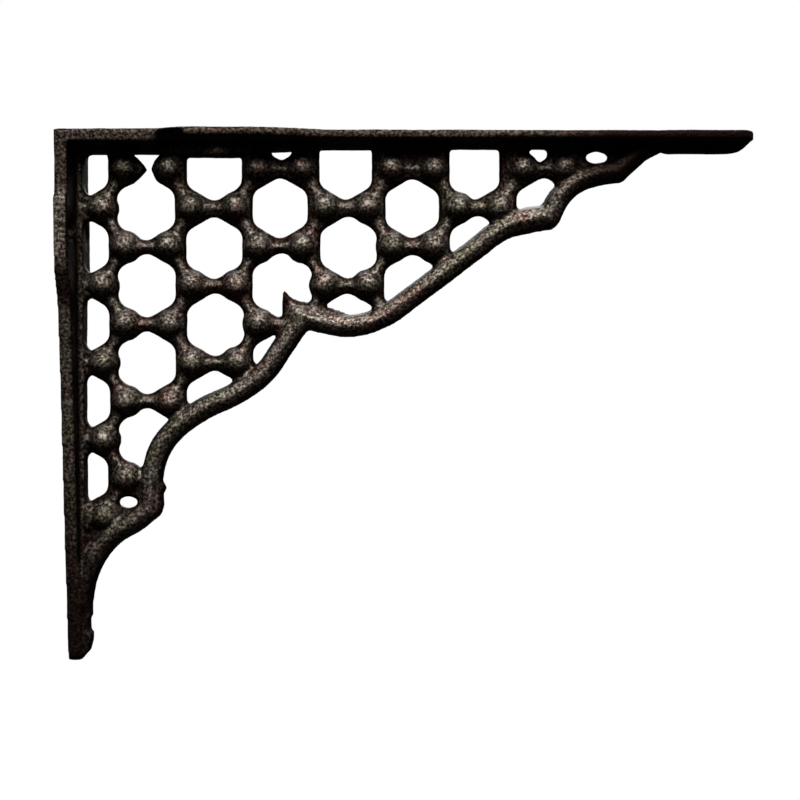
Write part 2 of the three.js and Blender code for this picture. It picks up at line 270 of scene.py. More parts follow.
def mark_end(way):
    """Selects the end face, the one that lies furthest along way."""
    work = bmesh.from_edit_mesh(bpy.context.object.data)
    reach = max(face.calc_center_median().dot(way) for face in work.faces)
    mark_faces(lambda middle, normal: abs(normal.dot(way)) > 0.5 and middle.dot(way) > reach - hair * mm)


def finish_block(name):
    """Closes editing, turns the faces outwards and fixes the place in the mesh."""
    bpy.ops.mesh.select_all(action="SELECT")
    bpy.ops.mesh.normals_make_consistent(inside=False)
    bpy.ops.object.mode_set(mode="OBJECT")
    bpy.ops.object.transform_apply(location=True, rotation=True, scale=True)
    bpy.context.object.name = name
    return bpy.context.object


def drawn_out(name, stations):
    """A bar whose section changes along it. Each station is its middle and its three sizes."""
    (first, size), (second, _) = stations[0], stations[1]
    way = (second - first).normalized()
    run = Vector([abs(v) for v in second - first])
    put_down()
    bpy.ops.mesh.primitive_cube_add(size=1, location=(first + second) / 2, scale=size + run)
    bpy.ops.object.transform_apply(location=True, rotation=True, scale=True)
    bpy.ops.object.mode_set(mode="EDIT")
    last_middle, last_size = second, size
    for middle, next_size in stations[2:]:
        mark_end(way)
        bpy.ops.mesh.extrude_region_move(TRANSFORM_OT_translate={"value": middle - last_middle})
        ratio = [b / a if a > 0 else 1 for a, b in zip(last_size, next_size)]
        bpy.ops.transform.resize(value=ratio, center_override=middle)
        last_middle, last_size = middle, next_size
    return finish_block(name)


def along_shelf(distance, half_width, depth, skin=0.0):
    """A station of something that lies under the shelf face."""
    middle = place(distance, 0, (skin + depth) / 2)
    return middle, Vector((0, 2 * half_width * mm, (depth - skin) * mm))


def along_wall(distance, half_width, depth, skin=0.0):
    """A station of something that lies against the wall face."""
    middle = place((skin + depth) / 2, 0, distance)
    return middle, Vector(((depth - skin) * mm, 2 * half_width * mm, 0))


def ease(share):
    """The share from 0 to 1, made to start and end softly."""
    share = min(max(share, 0), 1)
    return share * share * (3 - 2 * share)


def leg_widths(
    length, corner_length, ear_centre, ear_slope, ear_half_width, plain_half_width, tip_half_width,
    tip_radius,
):
    """Where a leg's section changes, and its half width there: corner, ear, long taper and a round tip."""
    ear_start, ear_end = ear_centre - ear_half_length, ear_centre + ear_half_length
    widths = []
    for step in range(1, ear_rise_steps + 1):
        distance = corner_length + (ear_start - corner_length) * step / ear_rise_steps
        wider = (ear_half_width - corner_half_width) * ease(step / ear_rise_steps)
        widths.append((distance, corner_half_width + wider))
    fall = [ear_end + ear_slope * step / ear_fall_steps for step in range(ear_fall_steps + 1)]
    tip = [
        length - tip_radius + tip_radius * math.sin(math.radians(90 * step / tip_steps))
        for step in range(tip_steps + 1)
    ]
    for distance in fall + tip:
        taper = plain_half_width + (tip_half_width - plain_half_width) * distance / length
        width = ear_half_width + (taper - ear_half_width) * ease((distance - ear_end) / ear_slope)
        past = max(distance - (length - tip_radius), 0)
        widths.append((distance, width - tip_radius + math.sqrt(max(tip_radius ** 2 - past ** 2, 0))))
    return widths


def cut(piece, *cutters):
    """Cuts the cutters out of the piece and clears them away."""
    for cutter in cutters:
        take_up(piece)
        opening = piece.modifiers.new("cut", "BOOLEAN")
        opening.operation = "DIFFERENCE"
        opening.solver = "EXACT"
        opening.object = cutter
        bpy.ops.object.modifier_apply(modifier=opening.name)
        bpy.data.objects.remove(cutter)
    return piece


def joined(name, pieces):
    """Several pieces in one mesh."""
    take_up(*pieces)
    bpy.ops.object.join()
    bpy.context.object.name = name
    return bpy.context.object


def copied(piece, spot, size=(1, 1, 1), turn=0.0):
    """A copy of a piece, with its own mesh, sized and turned about Y at a spot."""
    take_up(piece)
    bpy.ops.object.duplicate(linked=False)
    twin = bpy.context.object
    twin.location = spot
    twin.scale = size
    twin.rotation_euler = (0, turn, 0)
    bpy.ops.object.transform_apply(location=True, rotation=True, scale=True)
    return twin


# Shelf leg: thick at the corner, then a thin plate with its ear
shelf_leg_widths = leg_widths(
    shelf_length, shelf_corner_length, shelf_ear_centre, shelf_ear_slope, shelf_ear_half_width,
    shelf_plain_half_width, shelf_tip_half_width, shelf_tip_radius)
shelf_stations = [
    along_shelf(0, corner_half_width, corner_thickness),
    along_shelf(shelf_corner_length, corner_half_width, corner_thickness),
    along_shelf(shelf_corner_length + corner_step, corner_half_width, shelf_thickness),
]
for distance, width in shelf_leg_widths:
    shelf_stations.append(along_shelf(distance, width, shelf_thickness))
shelf_leg = drawn_out("shelf_leg", shelf_stations)

# Wall leg
wall_leg_widths = leg_widths(
    wall_height, wall_corner_length, wall_ear_centre, wall_ear_slope, wall_ear_half_width,
    wall_plain_half_width, wall_tip_half_width, wall_tip_radius)
wall_stations = [
    along_wall(0, corner_half_width, wall_thickness),
    along_wall(wall_corner_length, corner_half_width, wall_thickness),
]
for distance, width in wall_leg_widths:
    wall_stations.append(along_wall(distance, width, wall_thickness))
wall_leg = drawn_out("wall_leg", wall_stations)

# Scoops under the edges of the shelf leg, from the thick corner to the ear
scoop_length = scoop_end - shelf_corner_length
scoop_turn = math.atan2(shelf_ear_half_width - corner_half_width, scoop_length)
scoop_reach = (corner_half_width + shelf_ear_half_width) / 2
for side in (-1, 1):
    put_down()
    spot = place(shelf_corner_length + scoop_length / 2, side * scoop_reach, scoop_roof + scoop_radius)
    bpy.ops.mesh.primitive_cylinder_add(
        vertices=scoop_sides, radius=scoop_radius * mm, depth=scoop_length * mm, location=spot,
        rotation=(0, math.pi / 2, side * scoop_turn),
    )
    bpy.ops.object.mode_set(mode="EDIT")
    cut(shelf_leg, finish_block("scoop"))


def round_bore(name, face, way, thickness):
    """Cutter for one screw hole: a straight bore from the mounting face, countersunk inside."""
    turn = way.to_track_quat("Z", "Y").to_euler()
    bore_depth = (thickness - countersink_depth + bore_overrun) * mm
    put_down()
    bpy.ops.mesh.primitive_cylinder_add(
        vertices=screw_hole_sides, radius=screw_hole_radius * mm, depth=bore_depth,
        location=face + way * (bore_depth / 2 - bore_overrun * mm), rotation=turn,
    )
    bpy.ops.object.transform_apply(location=True, rotation=True, scale=True)
    bpy.ops.object.mode_set(mode="EDIT")
    widths = [(countersink_depth, screw_head_radius / screw_hole_radius), (bore_overrun, 1)]
    spot = face + way * (thickness - countersink_depth) * mm
    for rise, wider in widths:
        mark_end(way)
        spot = spot + way * rise * mm
        bpy.ops.mesh.extrude_region_move(TRANSFORM_OT_translate={"value": way * rise * mm})
        ratio = [wider if abs(v) < 0.5 else 1 for v in way]
        bpy.ops.transform.resize(value=ratio, center_override=spot)
    return finish_block(name)


down, outwards = Vector((0, 0, -1)), Vector((1, 0, 0))
for side in (-1, 1):
    across = side * screw_hole_offset
    shelf_face, wall_face = place(shelf_ear_centre, across, 0), place(0, across, wall_ear_centre)
    cut(shelf_leg, round_bore("shelf_bore", shelf_face, down, shelf_thickness))
    cut(wall_leg, round_bore("wall_bore", wall_face, outwards, wall_thickness))

# Rails that carry the web along both legs
shelf_rail_piece = drawn_out(
    "shelf_rail", [along_shelf(x, rail_half_thickness, depth, rail_skin) for x, depth in shelf_rail])
wall_rail_piece = drawn_out(
    "wall_rail", [along_wall(x, rail_half_thickness, depth, rail_skin) for x, depth in wall_rail])

# Web: a plate with a flared opening for every cell
web_ends = [place(web_start, 0, web_middle), place(shelf_length - web_tip_gap, 0, web_middle)]
web_section = Vector((0, 2 * web_half_thickness * mm, web_height * mm))
web = drawn_out("web", [(end, web_section) for end in web_ends])


def cell_cutter(inradius):
    """Cutter for one cell: a six-sided opening with round corners, narrowest at the middle of the web."""
    rounding = min(cell_rounding, largest_rounding * inradius)
    side_cut = rounding * math.tan(math.pi / 6)
    put_down()
    bpy.ops.mesh.primitive_circle_add(
        vertices=6, radius=inradius / math.cos(math.pi / 6) * mm, fill_type="NGON",
        rotation=(math.pi / 2, 0, 0),
    )
    bpy.ops.object.transform_apply(location=True, rotation=True, scale=True)
    bpy.ops.object.mode_set(mode="EDIT")
    bpy.ops.mesh.select_mode(type="VERT")
    bpy.ops.mesh.select_all(action="SELECT")
    bpy.ops.mesh.bevel(
        affect="VERTICES", offset=side_cut * mm, offset_type="OFFSET", segments=cell_corner_steps,
        profile=0.5)
    bpy.ops.mesh.select_mode(type="FACE")
    half_depth = web_half_thickness + cutter_overrun
    widest = 1 + cell_flare / inradius * half_depth / web_half_thickness
    front, back = Vector((0, -1, 0)), Vector((0, 1, 0))
    bpy.ops.mesh.select_all(action="SELECT")
    bpy.ops.transform.translate(value=front * half_depth * mm)
    bpy.ops.transform.resize(value=(widest, 1, widest), center_override=(0, 0, 0))
    for narrower in (1 / widest, widest):
        mark_end(back)
        bpy.ops.mesh.extrude_region_move(TRANSFORM_OT_translate={"value": back * half_depth * mm})
        bpy.ops.transform.resize(value=(narrower, 1, narrower), center_override=(0, 0, 0))
    return finish_block("cell")


plain_cell = cell_cutter(cell_inradius)
cell_cutters = []
ball_spots = []
strut_ends = set()
for column in columns:
    first_depth = first_cell_depth - row_pitch / 2 if column % 2 else first_cell_depth - row_pitch
    out = first_column + column * column_pitch - close_up * max(0, column - close_up_column)
    for row in rows:
        depth = first_depth + row * row_pitch
        ball_spots += [(out - hex_side, depth), (out + hex_side, depth)]
        over, under = depth - row_pitch / 2, depth + row_pitch / 2
        inner = hex_side / 2
        for ends in (
            ((out - inner, over), (out + inner, over)), ((out - hex_side, depth), (out - inner, over)),
            ((out - hex_side, depth), (out - inner, under)), ((out + inner, over), (out + hex_side, depth)),
            ((out + inner, under), (out + hex_side, depth)),
        ):
            strut_ends.add(tuple((round(x, 1), round(z, 1)) for x, z in ends))
        if (column, row) in filled_cells:
            continue
        wider, shift_out, shift_down = uneven_cells.get((column, row), (0, 0, 0))
        spot = place(out + shift_out, 0, depth + shift_down)
        size = (cell_inradius + wider) / cell_inradius
        wide, high = squeezed_cells.get((column, row), (1, 1))
        cell_cutters.append(copied(plain_cell, spot, (size * wide, 1, size * high)))
        if row == 0 and column in open_top_columns:
            spot = place(out + shift_out, 0, depth + shift_down - open_top_reach)
            cell_cutters.append(copied(plain_cell, spot, (size, 1, size)))
bpy.data.objects.remove(plain_cell)
cut(web, *cell_cutters)

# The web stops at the scroll: a broad sweep of the scroll's middle line, outwards and down, is cut off
scroll = [scroll_foot] + [(x, depth) for x, depth, _ in reversed(left_knee_to_wall)]
scroll += [(x, depth) for x, depth, _ in reversed(cusp_to_left_knee)]
scroll += [(x, depth) for x, depth, _ in cusp_to_right_knee[1:] + right_knee_to_knee]
scroll += [(x, depth) for x, depth, _ in right_knee_to_shelf[1:]] + [scroll_run_out]
put_down()
sweep_way = (place(1, 0, 1) - place(0, 0, 0)).normalized()
sweep_start = place(scroll[0][0], 0, scroll[0][1])
bpy.ops.mesh.primitive_plane_add(
    size=1, location=sweep_start + sweep_way * sweep_reach * mm / 2, rotation=(0, math.pi / 4, 0))
bpy.ops.transform.resize(value=(sweep_reach * mm, cutter_breadth * mm, 1), orient_type="LOCAL")
bpy.ops.object.transform_apply(location=True, rotation=True, scale=True)
bpy.ops.object.mode_set(mode="EDIT")
across_sweep = Vector((1, 0, 1)).normalized()
for (x0, depth0), (x1, depth1) in zip(scroll, scroll[1:]):
    mark_end(across_sweep)
    next_step = place(x1, 0, depth1) - place(x0, 0, depth0)
    bpy.ops.mesh.extrude_region_move(TRANSFORM_OT_translate={"value": next_step})
cut(web, finish_block("beyond_scroll"))

# Missing strut over the first cell: two stubs that stop short of each other. Each share of the gap's height
# has its width.
gap_depth = first_cell_depth - row_pitch / 2
gap_middle = (gap_place, gap_depth)
gap_outline = [(-0.5, gap_mouth), (0, gap_mouth), (0.5, gap_width), (1, gap_mouth), (1.05, gap_mouth)]
strut_gap = drawn_out("strut_gap", [
    (place(gap_place, 0, gap_depth + (share - 0.5) * gap_height), Vector((wide * mm, cutter_breadth * mm, 0)))
    for share, wide in gap_outline
])
cut(web, strut_gap)


def clear_of_line(x, depth, line):
    """Distance from a point to a middle line of the bar."""
    point = Vector((x, depth))
    nearest = math.inf
    for start, end in zip(line, line[1:]):
        a, b = Vector(start[:2]), Vector(end[:2])
        share = min(max((point - a).dot(b - a) / (b - a).length_squared, 0), 1)
        nearest = min(nearest, (point - a - (b - a) * share).length)
    return nearest


def above_scroll(x, depth):
    """True where a point lies between the legs and the scroll."""
    edge = [(lattice_inset, lattice_inset)] + scroll[:-1] + [(scroll[-2][0], lattice_inset)]
    inside = False
    for (ax, ad), (bx, bd) in zip(edge, edge[1:] + edge[:1]):
        if (ad > depth) != (bd > depth) and x < (bx - ax) * (depth - ad) / (bd - ad) + ax:
            inside = not inside
    return inside


# Balls where the struts meet, each with a flat collar in the web
put_down()
bpy.ops.mesh.primitive_uv_sphere_add(segments=ball_segments, ring_count=ball_rings, radius=ball_radius * mm)
bpy.ops.object.mode_set(mode="EDIT")
round_ball = finish_block("round_ball")
put_down()
bpy.ops.mesh.primitive_cylinder_add(
    vertices=ball_segments, radius=collar_radius * mm, depth=2 * web_half_thickness * mm,
    rotation=(math.pi / 2, 0, 0))
bpy.ops.object.transform_apply(location=True, rotation=True, scale=True)
bpy.ops.object.mode_set(mode="EDIT")
bpy.ops.mesh.select_all(action="SELECT")
bpy.ops.mesh.bevel(affect="EDGES", offset=collar_edge * mm, segments=1)
first_ball = joined("first_ball", [round_ball, finish_block("collar")])
balls = []
for x, depth in sorted(set((round(x, 3), round(depth, 3)) for x, depth in ball_spots)):
    off_bar = min(clear_of_line(x, depth, line) for line in bar_lines)
    off_rails = x > wall_rail[0][1] + ball_clear_of_rail and depth > shelf_rail[5][1] + ball_clear_of_rail
    if above_scroll(x, depth) and off_bar > ball_clear_of_bar and off_rails:
        balls.append(copied(first_ball, place(x, 0, depth)))
bpy.data.objects.remove(first_ball)


def plain_strut():
    """A strut lying along X: round, and swelling a little into the balls at its ends."""
    put_down()
    half = hex_side / 2
    bpy.ops.mesh.primitive_circle_add(
        vertices=strut_sides, radius=mm, fill_type="NGON", location=(-half * mm, 0, 0),
        rotation=(0, math.pi / 2, 0))
    bpy.ops.object.transform_apply(location=True, rotation=True, scale=True)
    bpy.ops.object.mode_set(mode="EDIT")
    along = Vector((1, 0, 0))
    swell = 1 + strut_root_swell / strut_half_width
    bpy.ops.mesh.select_all(action="SELECT")
    bpy.ops.transform.resize(
        value=(1, strut_half_thickness * swell, strut_half_width * swell), center_override=(0, 0, 0))
    spans = [(0.5 * half, 1 / swell), (half, 1), (0.5 * half, swell)]
    for span, wider in spans:
        mark_end(along)
        bpy.ops.mesh.extrude_region_move(TRANSFORM_OT_translate={"value": along * span * mm})
        bpy.ops.transform.resize(value=(1, wider, wider), center_override=(0, 0, 0))
    return finish_block("strut")


def kept_end(start, end):
    """The last point on the way from start to end that lies between the legs and the scroll."""
    a, b = Vector(start), Vector(end)
    last = a
    for step in range(strut_end_steps + 1):
        point = a + (b - a) * step / strut_end_steps
        if not above_scroll(*point):
            break
        last = point
    return last


# Struts from ball to ball, ending inside the scroll or a leg where the lattice stops
first_strut = plain_strut()
struts = []
for start, end in sorted(strut_ends):
    if not above_scroll(*start):
        start, end = end, start
    if not above_scroll(*start):
        continue
    stop = kept_end(start, end)
    run = stop - Vector(start)
    if run.length < shortest_strut:
        continue
    if clear_of_line(*gap_middle, [(*start, 0), (*end, 0)]) < gap_reach:
        continue
    middle = Vector(start) + run / 2
    share = run.length / hex_side
    struts.append(copied(first_strut, place(middle.x, 0, middle.y), (share, 1, 1), math.atan2(run.y, run.x)))
bpy.data.objects.remove(first_strut)

# Roots where the balls nearest the wall grow into its rail
roots = []
for row in wall_root_rows:
    depth = first_cell_depth + row * row_pitch
    stations = [
        (place(x, 0, depth), Vector((0, 2 * web_half_thickness * mm, 2 * half_height * mm)))
        for x, half_height in wall_root
    ]
    roots.append(drawn_out("wall_root", stations))


def scrolled_bar(name, line, thickening=bar_thickening):
    """A bar with a soft ridge along its crest, bent along a middle line."""
    put_down()
    bpy.ops.curve.primitive_bezier_curve_add()
    bar = bpy.context.object
    curve = bar.data
    spline = curve.splines[0]
    spline.bezier_points.add(len(line) - 2)
    for point, (x, depth, half_width) in zip(spline.bezier_points, line):
        point.co = place(x, 0, depth)
        point.handle_left_type = point.handle_right_type = "AUTO"
        point.radius = half_width
    curve.dimensions = "3D"
    curve.resolution_u = bar_bend_steps
    curve.bevel_depth = mm
    curve.bevel_resolution = bar_round_steps
    curve.use_fill_caps = True
    bpy.ops.object.convert(target="MESH")
    bpy.ops.object.mode_set(mode="EDIT")
    bpy.ops.mesh.select_all(action="SELECT")
    bpy.ops.mesh.remove_doubles(threshold=hair * mm)
    bpy.ops.transform.resize(value=(1, thickening, 1), center_override=(0, 0, 0))
    return finish_block(name)


def knob(name, x, depth, radius):
    """Rounds the end of a bar."""
    put_down()
    bpy.ops.mesh.primitive_uv_sphere_add(
        segments=ball_segments, ring_count=ball_rings, radius=radius * mm, location=place(x, 0, depth))
    bpy.ops.object.mode_set(mode="EDIT")
    return finish_block(name)


bars = []
for number, line in enumerate(bar_lines):
    bars.append(scrolled_bar(f"scroll_{number}", line))
    bars += [knob(f"knob_{number}", *end) for end in (line[0], line[-1]) if end[1] > knob_from_depth]
for name, line in (("cusp_left", cusp_left_edge), ("cusp_right", cusp_right_edge)):
    bars.append(scrolled_bar(name, line, cusp_flattening))
bars.append(scrolled_bar("cusp_ridge", cusp_ridge))
bars.append(knob("nub", *nub))
for line, rise in ((upper_seam, upper_seam_rise), (lower_seam, lower_seam_rise)):
    for side in (-1, 1):
        cold_seam = scrolled_bar("cold_seam", line)
        cold_seam.location = (0, side * rise * mm, 0)
        take_up(cold_seam)
        bpy.ops.object.transform_apply(location=True, rotation=True, scale=True)
        bars.append(cold_seam)

# The bar's ends are ground level with the two mounting faces
put_down()
face_cutters = []
long_side, breadth, height = face_cutter_length * mm, face_cutter_breadth * mm, face_cutter_height * mm
for middle, size in (
    (place(shelf_length / 2, 0, -face_cutter_height / 2), Vector((long_side, breadth, height))),
    (place(-face_cutter_height / 2, 0, wall_height / 2), Vector((height, breadth, long_side))),
):
    step = Vector((size.x, 0, 0))
    flat = Vector((0, size.y, size.z))
    face_cutters.append(drawn_out("face", [(middle - step / 2, flat), (middle + step / 2, flat)]))
scroll_bar = joined("scroll_bar", bars)

# One casting: everything runs together, then the corners between the forms fill with small fillets
casting = joined("bracket_casting", [
    shelf_leg, wall_leg, shelf_rail_piece, wall_rail_piece, web, scroll_bar, *balls, *struts, *roots,
])
take_up(casting)
fuse = casting.modifiers.new("fuse", "REMESH")
fuse.mode = "VOXEL"
fuse.voxel_size = casting_grain * mm
bpy.ops.object.modifier_apply(modifier=fuse.name)
cut(casting, *face_cutters)
take_up(casting)
fillets = casting.modifiers.new("fillets", "SMOOTH")
fillets.factor = fillet_softness
fillets.iterations = fillet_passes
bpy.ops.object.modifier_apply(modifier=fillets.name)

# Coarse skin of the sand mould: a fine pitting over a slow swell
for name, width, depth, detail in (
    ("swell", swell_width, swell_depth, swell_detail), ("sand", sand_width, sand_depth, sand_detail),
):
    cloud = bpy.data.textures.new(name, "CLOUDS")
    cloud.noise_scale = width * mm
    cloud.noise_depth = detail
    skin = casting.modifiers.new(name, "DISPLACE")
    skin.texture = cloud
    skin.texture_coords = "LOCAL"
    skin.mid_level = 0.5
    skin.strength = depth * mm
    bpy.ops.object.modifier_apply(modifier=skin.name)
bpy.ops.object.shade_smooth()


def to_linear(hex_colour):
    """An sRGB hex colour as linear red, green, blue and alpha."""
    parts = [int(hex_colour[i:i + 2], 16) / 255 for i in (1, 3, 5)]
    return [c / 12.92 if c <= 0.04045 else ((c + 0.055) / 1.055) ** 2.4 for c in parts] + [1]


def add_node(material, kind, settings=None, values=None, links=None):
    """Adds a shader node, with its settings, the values of its sockets and what feeds them."""
    node = material.node_tree.nodes.new(kind)
    for name, value in (settings or {}).items():
        setattr(node, name, value)
    for name, value in (values or {}).items():
        node.inputs[name].default_value = value
    for name, source in (links or {}).items():
        material.node_tree.links.new(source, node.inputs[name])
    return node


def colour_steps(node, steps):
    """Sets the colours of a colour ramp: place and hex colour."""
    ramp = node.color_ramp
    while len(ramp.elements) < len(steps):
        ramp.elements.new(0.5)
    for element, (spot, colour) in zip(ramp.elements, steps):
        element.position = spot
        element.color = to_linear(colour)


# Cast iron, as cast in green sand and blackened, then rubbed by years of handling. The skin is rough with
# sand grains, drawn coarser than the real sand, which would be too fine to see. The black finish stays in the
# web, in the corners, on undersides and on faces turned away, dark brown-black and dull. There the dark is
# partly the kept finish and partly
# painted shade: in the recesses, on undersides, on faces turned from the sides and on the rails under the
# legs. The balls, struts and scroll, which stand out to both sides, are worn to a greyer brown iron that
# glints on the grains.
grain_width = 1.05
pit_depth = 0.3
blotch_width = 11
blotch_strength = 0.8
iron_roughness = 0.58
# Wear, together with painted light, starts and is full at these distances from the middle of the web, on
# faces that look this far outwards. Nearer the middle, and on faces turned from the sides, the dark is partly
# kept finish and partly painted shade in the recesses and on the rims.
wear_and_light_from = 1.2
wear_and_light_to = 2.3
rubbed_and_lit_from = 0.3
rubbed_and_lit_to = 0.95
# Faces that look down are painted darker: painted shade on undersides, which keep this share of the wear
underside_shade_from = -0.5
underside_shade_to = 0.1
wear_in_underside_shade = 0.15
# Rims of the legs, further from the middle than this, keep more of the finish. Lower down the wall leg they
# are worn more, along the shelf leg evenly, and at the tip of the shelf leg half as much.
edge_from = 5
edge_to = 8
edge_wear = 0.26
low_edge_wear = 0.55
low_edge_from = 50
low_edge_to = 85
handled_wear = 0.26
handled_from = 34
handled_full = 75
handled_until = 195
handled_end = 215
# The near rim of the wall ear is rubbed most
ear_wear = 0.8
ear_reach = 9
ear_fade = 16
# Painted shadow on the rails, cast by the legs: by depth under the shelf leg and by distance from the wall
shelf_shadow_from = 9.5
shelf_shadow_to = 7.5
wear_in_shelf_shadow = 0.15
wear_in_wall_leg_shadow = 0.5
wall_leg_shadow_from = 6
wall_leg_shadow_to = 9
# Painted shade darkening towards the foot of the wall leg, and darker towards the tip of the shelf leg
foot_shade_from = 112
foot_shade_to = 180
foot_shade = 0.8
tip_from = 165
tip_to = 200
tip_darkening = 0.95
cast_iron = bpy.data.materials.new("blackened_sand_cast_iron")
cast_iron.use_nodes = True
cast_iron.node_tree.nodes.clear()
coordinates = add_node(cast_iron, "ShaderNodeTexCoord")
in_space = coordinates.outputs["Object"]
grain = add_node(
    cast_iron, "ShaderNodeTexNoise", values={"Scale": 1 / (grain_width * mm), "Detail": 2, "Roughness": 0.55},
    links={"Vector": in_space})
blotches = add_node(
    cast_iron, "ShaderNodeTexNoise", values={"Scale": 1 / (blotch_width * mm), "Detail": 3, "Roughness": 0.6},
    links={"Vector": in_space})
split_place = add_node(cast_iron, "ShaderNodeSeparateXYZ", links={"Vector": in_space})
split_facing = add_node(cast_iron, "ShaderNodeSeparateXYZ", links={"Vector": coordinates.outputs["Normal"]})
standing_out = add_node(
    cast_iron, "ShaderNodeMath", settings={"operation": "ABSOLUTE"}, links={0: split_place.outputs["Y"]})
facing_out = add_node(
    cast_iron, "ShaderNodeMath", settings={"operation": "ABSOLUTE"}, links={0: split_facing.outputs["Y"]})
# Painted shade in the recesses: parts near the middle of the web stay dark, partly as kept finish
reached_and_lit = add_node(
    cast_iron, "ShaderNodeMapRange", settings={"interpolation_type": "SMOOTHSTEP"},
    values={"From Min": wear_and_light_from * mm, "From Max": wear_and_light_to * mm}, links={"Value": standing_out.outputs[0]})
# Painted shade on rims: faces turned from the sides stay dark, partly as kept finish
rubbed_and_lit = add_node(
    cast_iron, "ShaderNodeMapRange", settings={"interpolation_type": "SMOOTHSTEP"},
    values={"From Min": rubbed_and_lit_from, "From Max": rubbed_and_lit_to}, links={"Value": facing_out.outputs[0]})
low_edge = add_node(
    cast_iron, "ShaderNodeMapRange", settings={"interpolation_type": "SMOOTHSTEP"},
    values={
        "From Min": (top - low_edge_from) * mm, "From Max": (top - low_edge_to) * mm,
        "To Min": edge_wear, "To Max": low_edge_wear},
    links={"Value": split_place.outputs["Z"]})
handled_near = add_node(
    cast_iron, "ShaderNodeMapRange", settings={"interpolation_type": "SMOOTHSTEP"},
    values={"From Min": handled_from * mm, "From Max": handled_full * mm, "To Max": handled_wear},
    links={"Value": split_place.outputs["X"], "To Min": low_edge.outputs["Result"]})
handled = add_node(
    cast_iron, "ShaderNodeMapRange", settings={"interpolation_type": "SMOOTHSTEP"},
    values={"From Min": handled_until * mm, "From Max": handled_end * mm, "To Max": edge_wear / 2},
    links={"Value": split_place.outputs["X"], "To Min": handled_near.outputs["Result"]})
from_ear = add_node(
    cast_iron, "ShaderNodeVectorMath", settings={"operation": "DISTANCE"},
    values={1: place(0, -wall_ear_half_width, wall_ear_centre)}, links={0: in_space})
ear_rubbed = add_node(
    cast_iron, "ShaderNodeMapRange", settings={"interpolation_type": "SMOOTHSTEP"},
    values={"From Min": ear_reach * mm, "From Max": ear_fade * mm, "To Min": ear_wear},
    links={"Value": from_ear.outputs["Value"], "To Max": handled.outputs["Result"]})
# Painted shadow of the wall leg on the rail beside it
painted_wall_leg_shadow = add_node(
    cast_iron, "ShaderNodeMapRange", settings={"interpolation_type": "SMOOTHSTEP"},
    values={"From Min": wall_leg_shadow_from * mm, "From Max": wall_leg_shadow_to * mm, "To Min": wear_in_wall_leg_shadow},
    links={"Value": split_place.outputs["X"]})
# Painted shadow of the shelf leg on the rail under it
painted_shelf_leg_shadow = add_node(
    cast_iron, "ShaderNodeMapRange", settings={"interpolation_type": "SMOOTHSTEP"},
    values={
        "From Min": (top - shelf_shadow_from) * mm, "From Max": (top - shelf_shadow_to) * mm,
        "To Max": wear_in_shelf_shadow},
    links={"Value": split_place.outputs["Z"], "To Min": painted_wall_leg_shadow.outputs["Result"]})
# Parts near the middle take the painted rail shadow, the rims of the legs their wear
held_back_and_shaded = add_node(
    cast_iron, "ShaderNodeMapRange", settings={"interpolation_type": "SMOOTHSTEP"},
    values={"From Min": edge_from * mm, "From Max": edge_to * mm},
    links={
        "Value": standing_out.outputs[0], "To Min": painted_shelf_leg_shadow.outputs["Result"],
        "To Max": ear_rubbed.outputs["Result"]})
# Painted shade on faces that look down
painted_underside_shade = add_node(
    cast_iron, "ShaderNodeMapRange", settings={"interpolation_type": "SMOOTHSTEP"},
    values={"From Min": underside_shade_from, "From Max": underside_shade_to, "To Min": wear_in_underside_shade},
    links={"Value": split_facing.outputs["Z"]})
rubbed_lit_and_unshaded = add_node(
    cast_iron, "ShaderNodeMath", settings={"operation": "MULTIPLY"},
    links={0: painted_underside_shade.outputs["Result"], 1: rubbed_and_lit.outputs["Result"]})
# Share of bare iron: wear, with painted shade where it is low
worn_and_lit_faces = add_node(
    cast_iron, "ShaderNodeMath", settings={"operation": "MULTIPLY"},
    links={0: reached_and_lit.outputs["Result"], 1: rubbed_lit_and_unshaded.outputs[0]})
worn_and_lit = add_node(
    cast_iron, "ShaderNodeMath", settings={"operation": "MULTIPLY"},
    links={0: worn_and_lit_faces.outputs[0], 1: held_back_and_shaded.outputs["Result"]})
finish = add_node(cast_iron, "ShaderNodeValToRGB", links={"Fac": grain.outputs["Fac"]})
colour_steps(finish, [(0.4, "#110908"), (0.6, "#33251f")])
bare = add_node(cast_iron, "ShaderNodeValToRGB", links={"Fac": grain.outputs["Fac"]})
colour_steps(bare, [(0.36, "#2e2824"), (0.5, "#6a625b"), (0.66, "#b2aba4")])
stain = add_node(cast_iron, "ShaderNodeValToRGB", links={"Fac": blotches.outputs["Fac"]})
colour_steps(stain, [(0.35, "#bfc3a6"), (0.5, "#d1cec8"), (0.65, "#dcbdb1")])
skin_colour = add_node(
    cast_iron, "ShaderNodeMix", settings={"data_type": "RGBA"},
    links={"Factor": worn_and_lit.outputs[0], "A": finish.outputs["Color"], "B": bare.outputs["Color"]})
stained = add_node(
    cast_iron, "ShaderNodeMix", settings={"data_type": "RGBA", "blend_type": "MULTIPLY"},
    values={"Factor": blotch_strength},
    links={"A": skin_colour.outputs["Result"], "B": stain.outputs["Color"]})
# Painted shade darkening towards the foot of the wall leg
painted_foot_shade = add_node(
    cast_iron, "ShaderNodeMapRange", settings={"interpolation_type": "SMOOTHSTEP"},
    values={"From Min": (top - foot_shade_from) * mm, "From Max": (top - foot_shade_to) * mm, "To Max": foot_shade},
    links={"Value": split_place.outputs["Z"]})
# Darker towards the tip of the shelf leg
foot_shade_and_dark_tip = add_node(
    cast_iron, "ShaderNodeMapRange", settings={"interpolation_type": "SMOOTHSTEP"},
    values={"From Min": tip_from * mm, "From Max": tip_to * mm, "To Max": tip_darkening},
    links={"Value": split_place.outputs["X"], "To Min": painted_foot_shade.outputs["Result"]})
